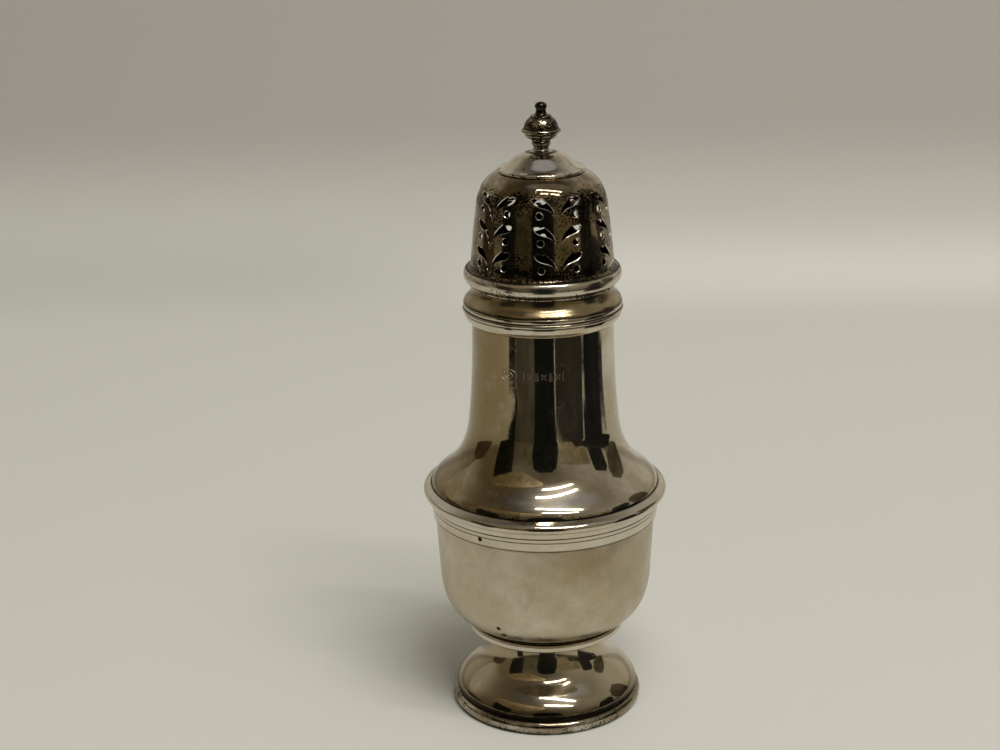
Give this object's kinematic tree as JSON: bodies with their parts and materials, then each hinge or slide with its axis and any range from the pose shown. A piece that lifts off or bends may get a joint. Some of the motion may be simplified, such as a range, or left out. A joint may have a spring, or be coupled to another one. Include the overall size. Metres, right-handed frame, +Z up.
{
  "type": "sugar caster",
  "caption": "Baluster sugar caster in silver: vase body with a reeded girdle on a spreading foot, and a push-on cover with a pierced leaf dome and turned finial.",
  "frame": {"origin": "centre of the foot's bearing face, on the table", "axes": "+Z up along the axis of turning; -Y towards the viewer of the picture; +X to the viewer's right"},
  "size_m": [0.065, 0.065, 0.165],
  "materials": {
    "polished_silver": "polished sterling silver with fine hairlines and dark lines in the grooves",
    "satin_silver": "polished silver gone cloudy, with a soft satin patina",
    "toned_silver": "silver toned yellow-brown in the hollows",
    "tarnished_silver": "silver with dense dark brown speckled tarnish",
    "dark_silver": "silver with a nearly black tarnish"
  },
  "bodies": {
    "caster_body": {"foot_rim_wire": "polished_silver", "foot": "polished_silver", "foot_collar": "polished_silver", "bowl": "satin_silver", "girdle_wire": "polished_silver", "upper_body": "polished_silver", "mouth_wire": "polished_silver"},
    "cover": {"bezel": "polished_silver", "cover_rim_wire": "toned_silver", "cover_skirt": "toned_silver", "cover_bead_wire": "toned_silver", "pierced_dome": "tarnished_silver", "dome_cap": "polished_silver", "finial_stem": "polished_silver", "finial_cup": "polished_silver", "finial_crown": "tarnished_silver", "finial_tip": "dark_silver", "finial_nut": "polished_silver"}
  },
  "joints": [
    {"name": "cover_lift", "type": "slide", "parent": "caster_body", "child": "cover", "axis": [0, 0, 1], "range_m": [0, 0.06]}
  ]
}
